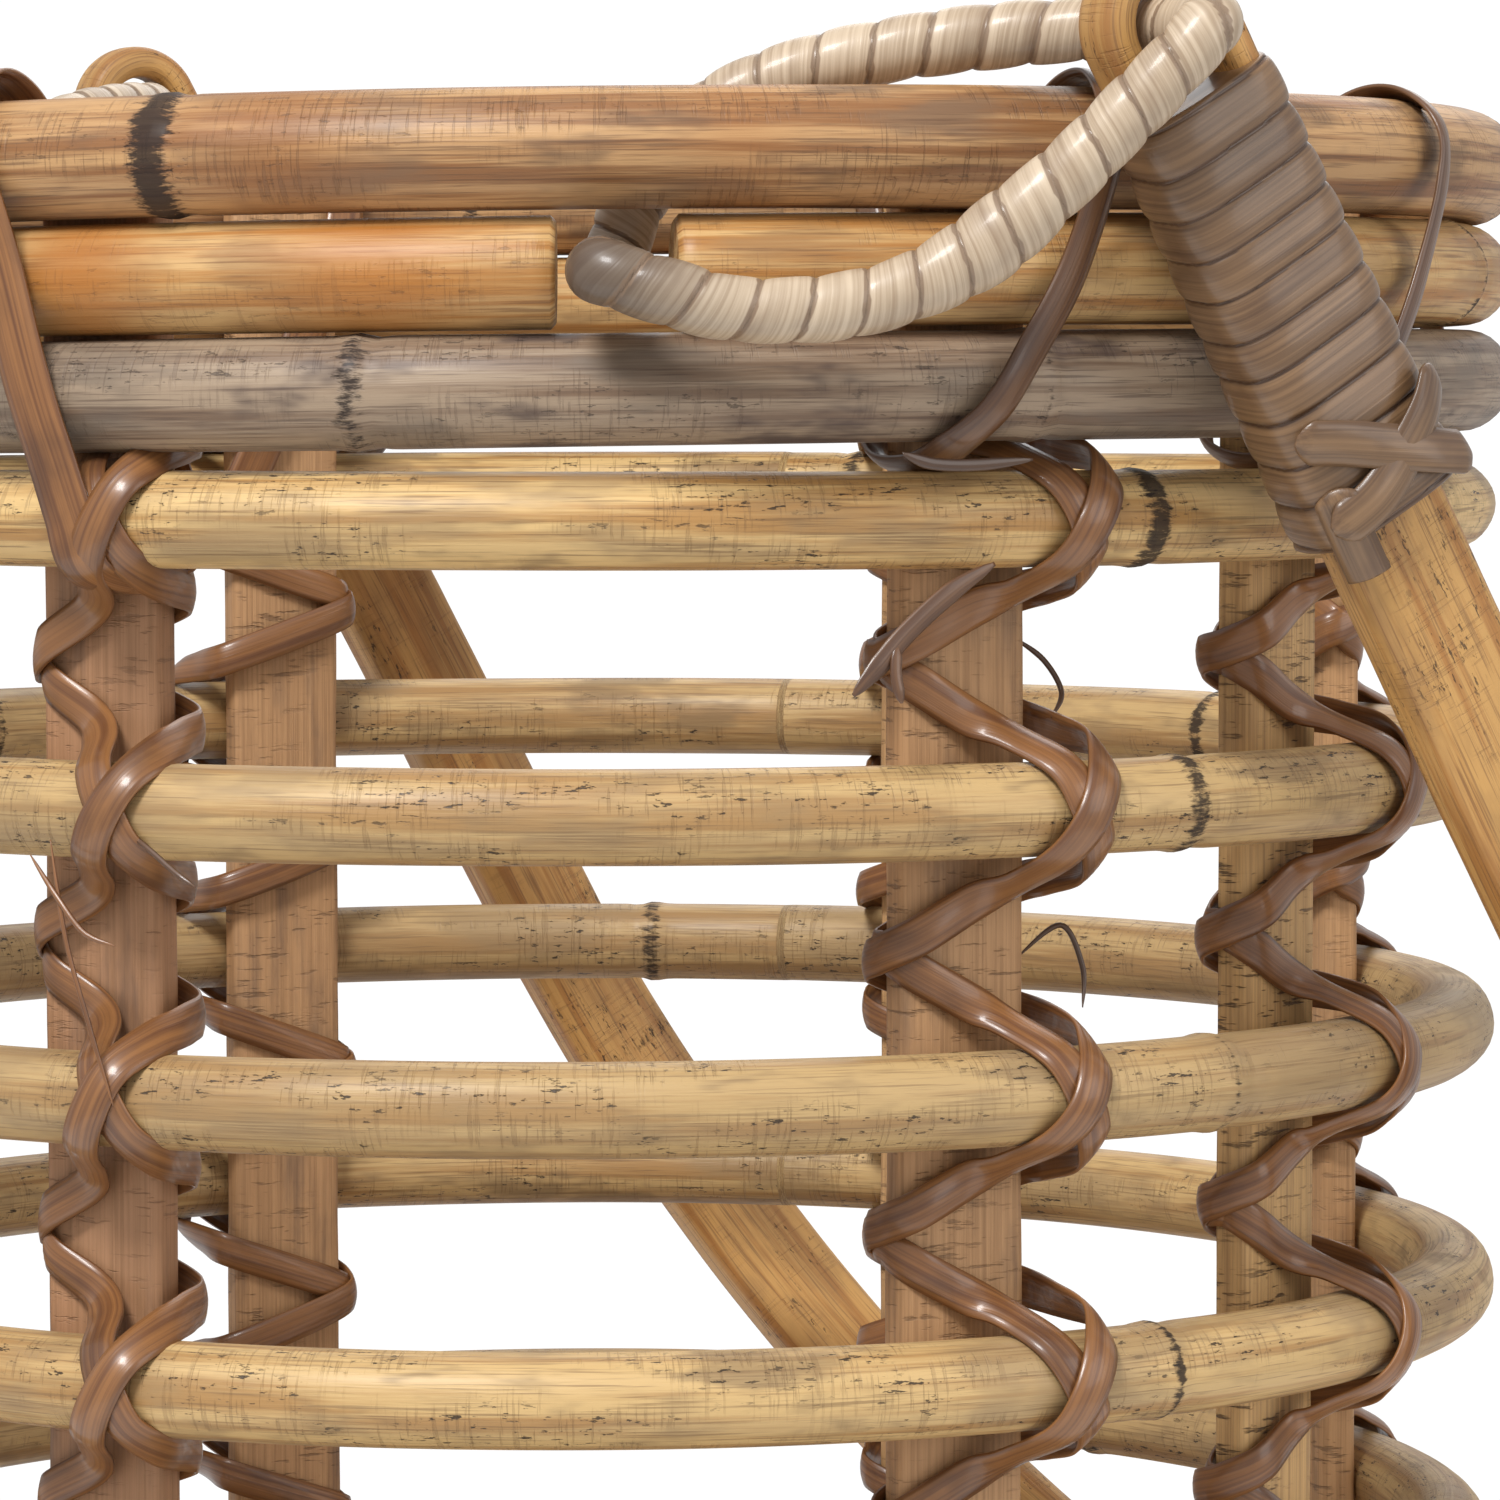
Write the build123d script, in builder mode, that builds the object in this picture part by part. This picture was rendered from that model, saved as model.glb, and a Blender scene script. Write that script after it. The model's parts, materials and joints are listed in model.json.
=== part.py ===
"""Round rattan lantern with a swinging bail handle.

Seven pole hoops, three rim rings and two base rings are lashed with cane to the outside of
eight flat stakes.  A board nailed between the stake feet carries the candle.  The middle rim
ring is cut in two places, and a wrapped cane loop goes round the top ring through each cut and
through one eye of the bail.

Frame: origin at the centre of the board's underside, +Z up, millimetres.
Bearings are degrees round +Z, counted from -Y towards +X.
"""

import math
import os

from build123d import *

# ---- driving dimensions ----
hoop_centre_radius = 120.0  # lantern axis to the middle of a side hoop's pole
seat_clearance = 0.06  # air between the edges of a stake and the rings outside it
cane_clearance = 0.15  # air between a cane band and what it ties

stake_bearings = (26.0, 54.0, 108.0, 152.0, 206.0, 248.0, 288.0, 330.0)
rim_tie_leans = (1, 1, 1, 1, -1, 1, -1, -1)  # 1 where a tie rises to the right, -1 to the left
stake_width = 17.5
stake_depth = 5.5
stake_corner = 2.2
stake_top_drop = 6.0  # the stakes end this far below the crown of the rim

hoop_count = 7
hoop_radius = 6.0
hoop_pitch = 35.4
lowest_hoop_height = 64.3

base_ring_radius = 6.8
base_ring_lift = 4.0  # floor to the underside of the lower base ring

rim_hoop_gap = 2.8  # air between the top hoop and the rim
rim_ring_radius = 6.9  # lower two rim rings
rim_top_radius = 7.5

board_thickness = 10.0
board_chamfer = 1.0
board_stake_gap = 1.8  # room for the cane that passes behind a stake
nail_radius = 0.9
nail_head_radius = 1.8
nail_head_height = 0.8
nail_grip = 10.0  # length of nail inside the board

cane_width = 5.0
cane_thickness = 1.0
hoop_tie_tilt = 42.0
rim_tie_tilt = 66.0
base_tie_tilt = 55.0

bail_bearing = 31.5  # bearing of the near eye, which is the direction of the hinge line
bail_swing_clearance = 1.3  # air between the whipped arm and the cane on the rim
bail_height = 288.0  # hinge line to the middle of the arch
bail_width = 17.5
bail_thickness = 9.0
bail_corner = 2.6
pivot_above_rim = 7.5
lean_clearance = 0.5  # air left where the hanging bail leans on the cane of the hoops
eye_hole_radius = 5.0
eye_strand_width = 5.0
eye_thickness = 8.0
eye_hole_length = 6.0  # straight part of the eye's hole
pole_start = 14.0  # hinge line to the end of the full pole
tail_end = 64.0  # hinge line to the end of the folded-back tail
tail_thickness = 11.0
whipping_start = 10.0
whipping_end = 67.0
whipping_wall = 1.2

loop_core_radius = 2.2
loop_wrap_wall = 1.2
loop_splice_gap = 0.3  # air between the two ends of a loop, inside the cut in the rim
loop_gap_turn = 28.0  # angle from an eye back to the cut in the middle rim ring
loop_gap_width = 14.0
loop_rim_clearance = 2.2  # air between the loop and the outside of the rim
loop_eye_overhang = 3.6  # air between the eye's outer face and the loop's end
loop_end_draw = 3.0  # how far the loop comes back in as it passes the edge of the eye

# ---- worked out from the driving dimensions ----
ring_inner_radius = hoop_centre_radius - hoop_radius
stake_flat_half = stake_width / 2 - stake_corner
stake_corner_reach = ring_inner_radius - seat_clearance - stake_corner
stake_face_radius = math.sqrt(stake_corner_reach**2 - stake_flat_half**2) + stake_corner
face_gap = ring_inner_radius - stake_face_radius
stake_inner_radius = stake_face_radius - stake_depth
board_radius = stake_inner_radius - board_stake_gap

hoop_heights = [lowest_hoop_height + i * hoop_pitch for i in range(hoop_count)]
base_low_height = base_ring_lift + base_ring_radius
base_high_height = base_low_height + 2 * base_ring_radius + cane_clearance
rim_low_height = hoop_heights[-1] + hoop_radius + rim_hoop_gap + rim_ring_radius
rim_middle_height = rim_low_height + 2 * rim_ring_radius + cane_clearance
rim_top_height = rim_middle_height + rim_ring_radius + rim_top_radius + cane_clearance
rim_crown = rim_top_height + rim_top_radius
stake_top = rim_crown - stake_top_drop
nail_height = board_thickness / 2

pivot_height = rim_crown + pivot_above_rim
hoop_outer_radius = hoop_centre_radius + hoop_radius
hoop_cane_reach = hoop_outer_radius + 2 * (cane_clearance + cane_thickness)
lean_reach = hoop_cane_reach + lean_clearance
arch_inner_height = bail_height - bail_thickness / 2
eye_outer_radius = eye_hole_radius + eye_strand_width
tail_width = max(2 * eye_outer_radius, bail_width)
rim_cane_reach = ring_inner_radius + 2 * rim_top_radius + cane_clearance + cane_thickness
whipped_half = tail_thickness / 2 + cane_clearance + whipping_wall
bail_half_span = rim_cane_reach + bail_swing_clearance + whipped_half
bail_edge_angle = math.atan(bail_width / 2 / arch_inner_height)
lean_edge = math.hypot(arch_inner_height, bail_width / 2)
bail_drop = math.acos(lean_reach / lean_edge) - bail_edge_angle
loop_radius = loop_core_radius + loop_wrap_wall
gap_bearings = (bail_bearing - loop_gap_turn, bail_bearing + 180 + loop_gap_turn)


def ring_centre(pole_radius):
    """Radius at which a bent pole rests against the edges of the stakes."""
    return ring_inner_radius + pole_radius


def at_bearing(bearing, radius, height=0.0):
    """Point at a bearing, a radius from the lantern's axis and a height."""
    turn = math.radians(bearing)
    return Vector(radius * math.sin(turn), -radius * math.cos(turn), height)


os.makedirs("parts", exist_ok=True)


def save(part, name):
    """Labels a finished part and writes it as one STEP file."""
    part.label = name
    export_step(part, f"parts/{name}.step")


# ---- bent-pole rings ----
def pole_ring(pole_radius, height, start_bearing=0.0, sweep_angle=360.0):
    """A round pole bent to a ring, or to part of one, round the stakes."""
    section = Plane(
        origin=(0, 0, 0),
        x_dir=at_bearing(start_bearing, 1),
        z_dir=at_bearing(start_bearing - 90, 1),
    )
    with BuildPart() as ring:
        with BuildSketch(section):
            with Locations((ring_centre(pole_radius), height)):
                Circle(pole_radius)
        revolve(axis=Axis.Z, revolution_arc=sweep_angle)
    return ring.part


save(pole_ring(rim_top_radius, rim_top_height), "rim_ring_top")
save(pole_ring(rim_ring_radius, rim_low_height), "rim_ring_bottom")
save(pole_ring(base_ring_radius, base_high_height), "base_ring_upper")
save(pole_ring(base_ring_radius, base_low_height), "base_ring_lower")

gap_turn = math.degrees(loop_gap_width / ring_centre(rim_ring_radius))
long_start = gap_bearings[0] + gap_turn / 2
long_turn = gap_bearings[1] - gap_bearings[0] - gap_turn
short_start = gap_bearings[1] + gap_turn / 2
short_turn = 360 - long_turn - 2 * gap_turn
long_arc = pole_ring(rim_ring_radius, rim_middle_height, long_start, long_turn)
short_arc = pole_ring(rim_ring_radius, rim_middle_height, short_start, short_turn)
save(long_arc, "rim_ring_middle_long")
save(short_arc, "rim_ring_middle_short")

for number, height in enumerate(hoop_heights, start=1):
    save(pole_ring(hoop_radius, height), f"hoop_{number}")

# ---- one stake with its nail, standing at bearing 0 ----
stake_face = Plane(origin=(0, -stake_face_radius, nail_height), x_dir=(1, 0, 0), z_dir=(0, -1, 0))
nail_length = stake_depth + board_stake_gap + nail_grip

with BuildPart() as stake_pattern:
    with BuildSketch():
        with Locations((0, -stake_face_radius + stake_depth / 2)):
            RectangleRounded(stake_width, stake_depth, stake_corner)
    extrude(amount=stake_top)
    with BuildSketch(stake_face):
        Circle(nail_radius)
    extrude(amount=-stake_depth, mode=Mode.SUBTRACT)

with BuildPart() as nail_pattern:
    with BuildSketch(stake_face):
        Circle(nail_radius)
    extrude(amount=-nail_length)
    with BuildSketch(stake_face):
        Circle(nail_head_radius)
    extrude(amount=nail_head_height)


# ---- cane bands for one stake, at bearing 0 ----
def band_outline(reach, front_half, back_half, corner, grow):
    """Closed outline round the poles in front and the stake behind.

    Local x runs along the slope of the band and local y outwards from the stake's outer face.
    """
    front = reach + cane_clearance + grow
    back = -stake_depth - cane_clearance - grow
    front_side = front_half + cane_clearance + grow
    back_side = max(back_half + cane_clearance + grow, front_side)
    with BuildSketch() as outline:
        with BuildLine():
            Polyline(
                (-front_side + corner, front),
                (front_side - corner, front),
                (front_side, front - corner),
                (back_side, 0),
                (back_side, back),
                (-back_side, back),
                (-back_side, 0),
                (-front_side, front - corner),
                close=True,
            )
        make_face()
    return outline.sketch


def cane_band(low, high, pole_radius, tilt, grow=0.0):
    """A flat cane band tied round the stake and the poles that lie between two heights."""
    slope = math.radians(abs(tilt))
    front_half = (high - low) / 2 / math.sin(slope) + cane_width / 2 / math.tan(slope)
    back_half = stake_width / 2 / math.cos(slope) + cane_width / 2 * math.tan(slope)
    reach = face_gap + 2 * pole_radius
    corner = 0.45 * pole_radius
    across = Vector(math.cos(math.radians(tilt)), 0, math.sin(math.radians(tilt)))
    plane = Plane(
        origin=(0, -stake_face_radius, (low + high) / 2),
        x_dir=across,
        z_dir=across.cross(Vector(0, -1, 0)),
    )
    outer = band_outline(reach, front_half, back_half, corner, grow + cane_thickness)
    inner = band_outline(reach, front_half, back_half, corner, grow)
    with BuildPart() as band:
        with BuildSketch(plane):
            add(outer)
            add(inner, mode=Mode.SUBTRACT)
        extrude(amount=cane_width / 2, both=True)
    return band.part


with BuildPart() as lashing_pattern:
    for height in hoop_heights[:-1]:
        add(cane_band(height - hoop_radius, height + hoop_radius, hoop_radius, hoop_tie_tilt))
        add(
            cane_band(
                height - hoop_radius,
                height + hoop_radius,
                hoop_radius,
                -hoop_tie_tilt,
                cane_thickness + cane_clearance,
            )
        )

rim_tie_low = hoop_heights[-1] - hoop_radius
rim_tie_right = cane_band(rim_tie_low, rim_crown, rim_top_radius, rim_tie_tilt)
rim_tie_left = cane_band(rim_tie_low, rim_crown, rim_top_radius, -rim_tie_tilt)
base_tie = cane_band(
    base_ring_lift, base_high_height + base_ring_radius, base_ring_radius, base_tie_tilt
)

# ---- the eight stakes, each with its cane and its nail ----
# The rim ties lean so that they cross the rim clear of the hinge loops and the cuts.
with BuildPart() as nails:
    for bearing in stake_bearings:
        add(nail_pattern.part, rotation=(0, 0, bearing))
save(nails.part, "floor_nails")

for number, (bearing, lean) in enumerate(zip(stake_bearings, rim_tie_leans), start=1):
    for pattern, name in (
        (stake_pattern.part, "stake"),
        (lashing_pattern.part, "hoop_lashing"),
        (rim_tie_right if lean > 0 else rim_tie_left, "rim_tie"),
        (base_tie, "base_tie"),
    ):
        with BuildPart() as placed:
            add(pattern, rotation=(0, 0, bearing))
        save(placed.part, f"{name}_{number}")

with BuildPart() as board:
    Cylinder(board_radius, board_thickness, align=(Align.CENTER, Align.CENTER, Align.MIN))
    chamfer(board.faces().sort_by(Axis.Z)[-1].edges(), board_chamfer)
    add(nails.part, mode=Mode.SUBTRACT)
save(board.part, "candle_board")

# ---- bail handle, hanging against the hoops ----
hinge_direction = at_bearing(bail_bearing, 1)
hang_direction = at_bearing(bail_bearing + 90, math.cos(bail_drop), -math.sin(bail_drop))
bail_plane = Plane(
    origin=(0, 0, pivot_height),
    x_dir=hinge_direction,
    z_dir=hinge_direction.cross(hang_direction),
)
arch_start = bail_height - bail_half_span


def arm_section(side, distance):
    """Plane across an arm: local x along the hinge line, local z down the arm."""
    return Plane(
        origin=bail_plane.from_local_coords((side * bail_half_span, distance, 0)),
        x_dir=hinge_direction,
        z_dir=hang_direction,
    )


with BuildPart() as bail:
    with BuildLine(bail_plane) as bail_route:
        Line((bail_half_span, pole_start), (bail_half_span, arch_start))
        ThreePointArc(
            (bail_half_span, arch_start), (0, bail_height), (-bail_half_span, arch_start)
        )
        Line((-bail_half_span, arch_start), (-bail_half_span, pole_start))
    with BuildSketch(arm_section(1, pole_start)):
        RectangleRounded(bail_thickness, bail_width, bail_corner)
    sweep(path=bail_route.line)
    for side in (1, -1):
        with BuildSketch(arm_section(side, pole_start)):
            RectangleRounded(tail_thickness, tail_width, bail_corner)
        extrude(amount=tail_end - pole_start)
        eye_plane = Plane(
            origin=bail_plane.from_local_coords((side * bail_half_span, 0, 0)),
            x_dir=hang_direction,
            z_dir=hinge_direction,
        )
        with BuildSketch(eye_plane):
            Circle(eye_outer_radius)
            with Locations((pole_start / 2, 0)):
                Rectangle(pole_start, tail_width)
            with Locations((eye_hole_length / 2, 0)):
                SlotCenterToCenter(eye_hole_length, 2 * eye_hole_radius, mode=Mode.SUBTRACT)
        extrude(amount=eye_thickness / 2, both=True)
save(bail.part, "handle_bail")

for side, name in ((1, "near"), (-1, "far")):
    with BuildPart() as whipping:
        with BuildSketch(arm_section(side, whipping_start)):
            RectangleRounded(
                tail_thickness + 2 * (cane_clearance + whipping_wall),
                tail_width + 2 * (cane_clearance + whipping_wall),
                bail_corner + whipping_wall,
            )
            RectangleRounded(
                tail_thickness + 2 * cane_clearance,
                tail_width + 2 * cane_clearance,
                bail_corner / 2,
                mode=Mode.SUBTRACT,
            )
        extrude(amount=whipping_end - whipping_start)
    save(whipping.part, f"handle_whipping_{name}")

# ---- wrapped loops that hold the eyes ----
loop_outer = ring_centre(rim_top_radius) + rim_top_radius + loop_rim_clearance + loop_radius
loop_inner = ring_centre(rim_top_radius) - rim_top_radius - cane_thickness - loop_radius
loop_end = bail_half_span + eye_thickness / 2 + loop_eye_overhang + loop_radius


def loop_route(mirror):
    """Corners and bend radii of one loop, in order round the top ring.

    Each corner is a turn back from the eye, a radius, a height and a bend radius.  The mirrored
    loop runs the other way from the far eye.
    """
    eye = bail_bearing + (180 if mirror else 0)
    way = 1 if mirror else -1
    corners = (
        (loop_gap_turn, loop_outer + 1, rim_middle_height, 6),
        (0.57 * loop_gap_turn, loop_outer + 1, rim_middle_height - 3, 30),
        (0.25 * loop_gap_turn, loop_end - loop_end_draw, rim_top_height - 1, 14),
        (0, loop_end, pivot_height, 4.2),
        (0, ring_centre(rim_top_radius) + 2, pivot_height, 9),
        (0.39 * loop_gap_turn, loop_inner + 5, pivot_height - 2, 18),
        (0.75 * loop_gap_turn, loop_inner + 1, rim_crown - 2, 12),
        (loop_gap_turn, loop_inner, rim_middle_height, 6),
    )
    points = [at_bearing(eye + way * turn, radius, height) for turn, radius, height, _ in corners]
    return points, [bend for *_, bend in corners]


for mirror, name in ((False, "near"), (True, "far")):
    points, bends = loop_route(mirror)
    splice = (points[0] + points[-1]) / 2
    half_cut = (points[0] - points[-1]).normalized() * loop_splice_gap / 2
    with BuildPart() as loop_core:
        with BuildLine() as loop_line:
            FilletPolyline(splice + half_cut, *points, splice - half_cut, radius=bends)
        with BuildSketch(Plane(origin=loop_line.line @ 0, z_dir=loop_line.line % 0)):
            Circle(loop_core_radius)
        sweep(path=loop_line.line)
    save(loop_core.part, f"hinge_loop_core_{name}")

    with BuildPart() as loop_wrap:
        with BuildSketch(Plane(origin=loop_line.line @ 0, z_dir=loop_line.line % 0)):
            Circle(loop_radius)
            Circle(loop_core_radius, mode=Mode.SUBTRACT)
        sweep(path=loop_line.line)
    save(loop_wrap.part, f"hinge_loop_wrap_{name}")

print("bail hangs", round(math.degrees(bail_drop), 2), "degrees below level")
print("rim crown", round(rim_crown, 2), "pivot height", round(pivot_height, 2))
print("half span", round(bail_half_span, 2), "stake face", round(stake_face_radius, 3))
print("opposite lean", round(180 + 2 * math.degrees(bail_drop), 2), "degrees")
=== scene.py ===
import json
import math
import bpy
import numpy as np
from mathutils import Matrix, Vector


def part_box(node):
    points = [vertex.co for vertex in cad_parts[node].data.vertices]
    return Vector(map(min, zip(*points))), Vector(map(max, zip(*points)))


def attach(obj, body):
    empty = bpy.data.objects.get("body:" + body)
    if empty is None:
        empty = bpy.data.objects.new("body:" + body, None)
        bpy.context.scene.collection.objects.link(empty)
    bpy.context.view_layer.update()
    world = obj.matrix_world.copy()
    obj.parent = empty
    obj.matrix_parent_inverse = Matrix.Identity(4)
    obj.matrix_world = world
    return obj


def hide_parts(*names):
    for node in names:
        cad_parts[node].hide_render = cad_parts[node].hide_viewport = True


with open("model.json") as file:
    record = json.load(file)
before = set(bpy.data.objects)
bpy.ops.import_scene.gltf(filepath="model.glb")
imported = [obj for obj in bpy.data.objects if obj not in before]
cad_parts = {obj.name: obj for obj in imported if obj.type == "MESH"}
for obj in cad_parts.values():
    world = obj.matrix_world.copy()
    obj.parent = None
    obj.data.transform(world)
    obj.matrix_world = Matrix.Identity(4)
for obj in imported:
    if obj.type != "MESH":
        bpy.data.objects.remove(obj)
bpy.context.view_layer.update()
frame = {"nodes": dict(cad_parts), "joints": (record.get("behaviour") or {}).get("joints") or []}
mm = 0.001
pivot = np.array(frame["joints"][0]["pos_m"], float)
hingeAxis = np.array(frame["joints"][0]["axis"], float)
eyeBearing = math.degrees(math.atan2(hingeAxis[0], -hingeAxis[1]))
print("frame loaded,", len(frame["nodes"]), "nodes")

# ---------- camera, light and floor ----------
room = {
    "lens": 155.0,
    "distance": 0.893,  # from the lantern's axis
    "sideways": 0.0235,
    "eyeHeight": 0.2925,
    "tiltDown": 3.2,
    "worldLight": 0.62,
    "worldWhite": 1.05,  # as the camera sees it
    "keyPower": 30.0,
    "fillPower": 5.0,
}


def buildRoom():
    scene = bpy.context.scene
    camera = bpy.data.objects.new("camera", bpy.data.cameras.new("camera"))
    camera.data.lens = room["lens"]
    camera.data.clip_start = 0.01
    camera.location = (room["sideways"], -room["distance"], room["eyeHeight"])
    camera.rotation_euler = (math.radians(90 - room["tiltDown"]), 0, 0)
    scene.collection.objects.link(camera)
    scene.camera = camera
    scene.view_settings.view_transform = "Standard"
    world = bpy.data.worlds.new("studio")
    scene.world = world
    world.use_nodes = True
    # white as seen, and dimmer as a light
    nodes, links = world.node_tree.nodes, world.node_tree.links
    ray, level = nodes.new("ShaderNodeLightPath"), nodes.new("ShaderNodeMapRange")
    links.new(ray.outputs["Is Camera Ray"], level.inputs["Value"])
    level.inputs["To Min"].default_value = room["worldLight"]
    level.inputs["To Max"].default_value = room["worldWhite"]
    nodes["Background"].inputs["Color"].default_value = (1, 1, 1, 1)
    links.new(level.outputs[0], nodes["Background"].inputs["Strength"])
    lamps = (
        ("keyLight", (-0.5, -1.1, 1.6), 0.5, room["keyPower"]),
        ("fillLight", (1.3, -0.7, 0.7), 0.9, room["fillPower"]),
        ("backLight", (0.3, 1.3, 1.2), 1.0, room["fillPower"]),
    )
    for name, place, size, power in lamps:
        lamp = bpy.data.objects.new(name, bpy.data.lights.new(name, "AREA"))
        lamp.data.size = size
        lamp.data.energy = power
        lamp.location = place
        aim = np.array([0, 0, 0.2]) - np.array(place)
        level = math.hypot(aim[0], aim[1])
        lamp.rotation_euler = (math.atan2(level, -aim[2]), 0, math.atan2(-aim[0], aim[1]))
        scene.collection.objects.link(lamp)


# ---------- numpy surfaces ----------
def gridPart(points, grain, mark=None, loopAlong=False, capEnds=True):
    # A grid of stations by points around: each quad joins a station to the next one and a point to
    # the next one round.  Open ends are closed by a fan about the end ring's middle.
    stations, around = points.shape[:2]
    mark = np.zeros_like(points) if mark is None else mark
    i, j = np.meshgrid(np.arange(stations - (not loopAlong)), np.arange(around), indexing="ij")
    i, j = i.ravel(), j.ravel()
    iNext, jNext = (i + 1) % stations, (j + 1) % around
    quads = np.stack([i * around + j, iNext * around + j, iNext * around + jNext, i * around + jNext], 1)
    verts, grains, marks = (a.reshape(-1, 3) for a in (points, grain, mark))
    tris = np.zeros((0, 3), int)
    if capEnds and not loopAlong:
        for station, turn in ((0, 1), (stations - 1, -1)):
            ring = station * around + np.arange(around)
            middle = len(verts)
            fan = np.stack([np.full(around, middle), ring, np.roll(ring, -1)], 1)
            tris = np.vstack([tris, fan[:, ::turn]])
            verts = np.vstack([verts, verts[ring].mean(0)])
            grains = np.vstack([grains, grains[ring].mean(0)])
            marks = np.vstack([marks, marks[ring].mean(0)])
    a, b, c, d = (verts[quads[:, k]] for k in range(4))
    e, f, g = (verts[tris[:, k]] for k in range(3))
    volume = (np.cross(a, b) * c).sum() + (np.cross(a, c) * d).sum() + (np.cross(e, f) * g).sum()
    if volume < 0:
        quads, tris = quads[:, ::-1], tris[:, ::-1]
    return {"verts": verts, "quads": quads, "tris": tris, "grain": grains, "mark": marks}


def makePiece(name, parts, material, body, replaced=()):
    # Joins the parts into one mesh; cut ends are flat shaded, the rest is smooth.
    start = np.cumsum([0] + [len(p["verts"]) for p in parts])
    verts = np.vstack([p["verts"] for p in parts])
    quads = np.vstack([p["quads"] + s for p, s in zip(parts, start)])
    tris = np.vstack([p["tris"] + s for p, s in zip(parts, start)])
    mesh = bpy.data.meshes.new(name)
    mesh.vertices.add(len(verts))
    mesh.vertices.foreach_set("co", verts.astype(np.float32).ravel())
    mesh.loops.add(quads.size + tris.size)
    mesh.loops.foreach_set("vertex_index", np.concatenate([quads.ravel(), tris.ravel()]).astype(np.int32))
    mesh.polygons.add(len(quads) + len(tris))
    starts = np.concatenate([np.arange(len(quads)) * 4, quads.size + np.arange(len(tris)) * 3])
    mesh.polygons.foreach_set("loop_start", starts.astype(np.int32))
    mesh.update(calc_edges=True)
    flat = mesh.attributes.new("sharp_face", "BOOLEAN", "FACE")
    flat.data.foreach_set("value", np.arange(len(quads) + len(tris)) >= len(quads))
    for key in ("grain", "mark"):
        values = np.vstack([p[key] for p in parts]).astype(np.float32)
        layer = mesh.attributes.new(key, "FLOAT_VECTOR", "POINT")
        layer.data.foreach_set("vector", values.ravel())
    mesh.materials.append(material)
    piece = bpy.data.objects.new(name, mesh)
    bpy.context.scene.collection.objects.link(piece)
    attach(piece, body)
    if replaced:
        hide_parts(*replaced)
    return piece


def unit(vectors):
    return vectors / np.maximum(np.linalg.norm(vectors, axis=-1, keepdims=True), 1e-12)


def smoothCurve(controls, perSpan, closed=False):
    # Catmull-Rom: between two controls the curve is the cubic whose end slopes are half the
    # distance between the neighbours on each side.
    controls = np.asarray(controls, float)
    count = len(controls) if closed else len(controls) - 1
    t = np.linspace(0, 1, perSpan, endpoint=False)
    span = np.repeat(np.arange(count), perSpan)
    t = np.tile(t, count)
    if not closed:
        span, t = np.append(span, count - 1), np.append(t, 1.0)
    pick = (lambda k: controls[k % len(controls)]) if closed else (
        lambda k: controls[np.clip(k, 0, len(controls) - 1)])
    a, b, c, d = pick(span - 1), pick(span), pick(span + 1), pick(span + 2)
    t = t[:, None]
    return 0.5 * (2 * b + (c - a) * t + (2 * a - 5 * b + 4 * c - d) * t**2 + (3 * b - a - 3 * c + d) * t**3)


def alongPath(path, closed=False):
    # Unit tangents by central differences, and the distance travelled.
    if closed:
        tangent = unit(np.roll(path, -1, 0) - np.roll(path, 1, 0))
    else:
        tangent = unit(np.gradient(path, axis=0))
    steps = np.linalg.norm(np.diff(path, axis=0), axis=1)
    return tangent, np.concatenate([[0], np.cumsum(steps)])


def sweep(path, normals, across, through, mark=None, closed=False):
    # Carries a profile along a path: each point is the path plus its across offset along the
    # side direction plus its through offset along the surface normal.
    tangent, distance = alongPath(path, closed)
    normal = unit(normals - (normals * tangent).sum(1, keepdims=True) * tangent)
    side = np.cross(tangent, normal)
    across, through = (np.broadcast_to(a, (len(path), a.shape[-1])) for a in (across, through))
    points = path[:, None] + side[:, None] * across[..., None] + normal[:, None] * through[..., None]
    grain = np.stack([np.broadcast_to(distance[:, None], across.shape), across, through], -1)
    return gridPart(points, grain, mark, closed, not closed)


def ribbonPart(path, normals, width, thickness, tone=0.0, closed=False, taper=0.0):
    # A split cane strip: flat underneath, domed on top.  The dome's height is the thickness times
    # one minus the square of the distance from the middle, over a thin edge.
    a = np.concatenate([np.linspace(-1, 1, 7), np.linspace(1, -1, 5)])
    dome = np.where(np.arange(12) < 7, 0.45 + 0.55 * (1 - a**2), 0.0)
    along = np.linspace(0, 1, len(path))
    slim = np.ones(len(path))
    if taper:
        slim = np.clip(np.minimum(along, 1 - along) / taper, 0.08, 1) ** 0.6
    mark = np.zeros((len(path), 12, 3))
    mark[..., 2] = tone
    return sweep(path, normals, slim[:, None] * a * width / 2, slim[:, None] * dome * thickness, mark, closed)


def ripple(s, seed, waves=(1.0, 2.3, 4.1)):
    # A slow wander: a sum of sines of unrelated lengths with seeded phases, about -1 to 1.
    phase = np.random.default_rng(seed).uniform(0, 2 * np.pi, len(waves))
    return sum(np.sin(w * s + p) / (k + 1) for k, (w, p) in enumerate(zip(waves, phase))) / 1.8


def bearingWays(bearing):
    # Outward and sideways directions at a bearing, counted from -Y towards +X.
    turn = np.radians(bearing)
    zero = np.zeros_like(turn)
    outward = np.stack([np.sin(turn), -np.cos(turn), zero], -1)
    sideways = np.stack([np.cos(turn), np.sin(turn), zero], -1)
    return outward, sideways


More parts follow.
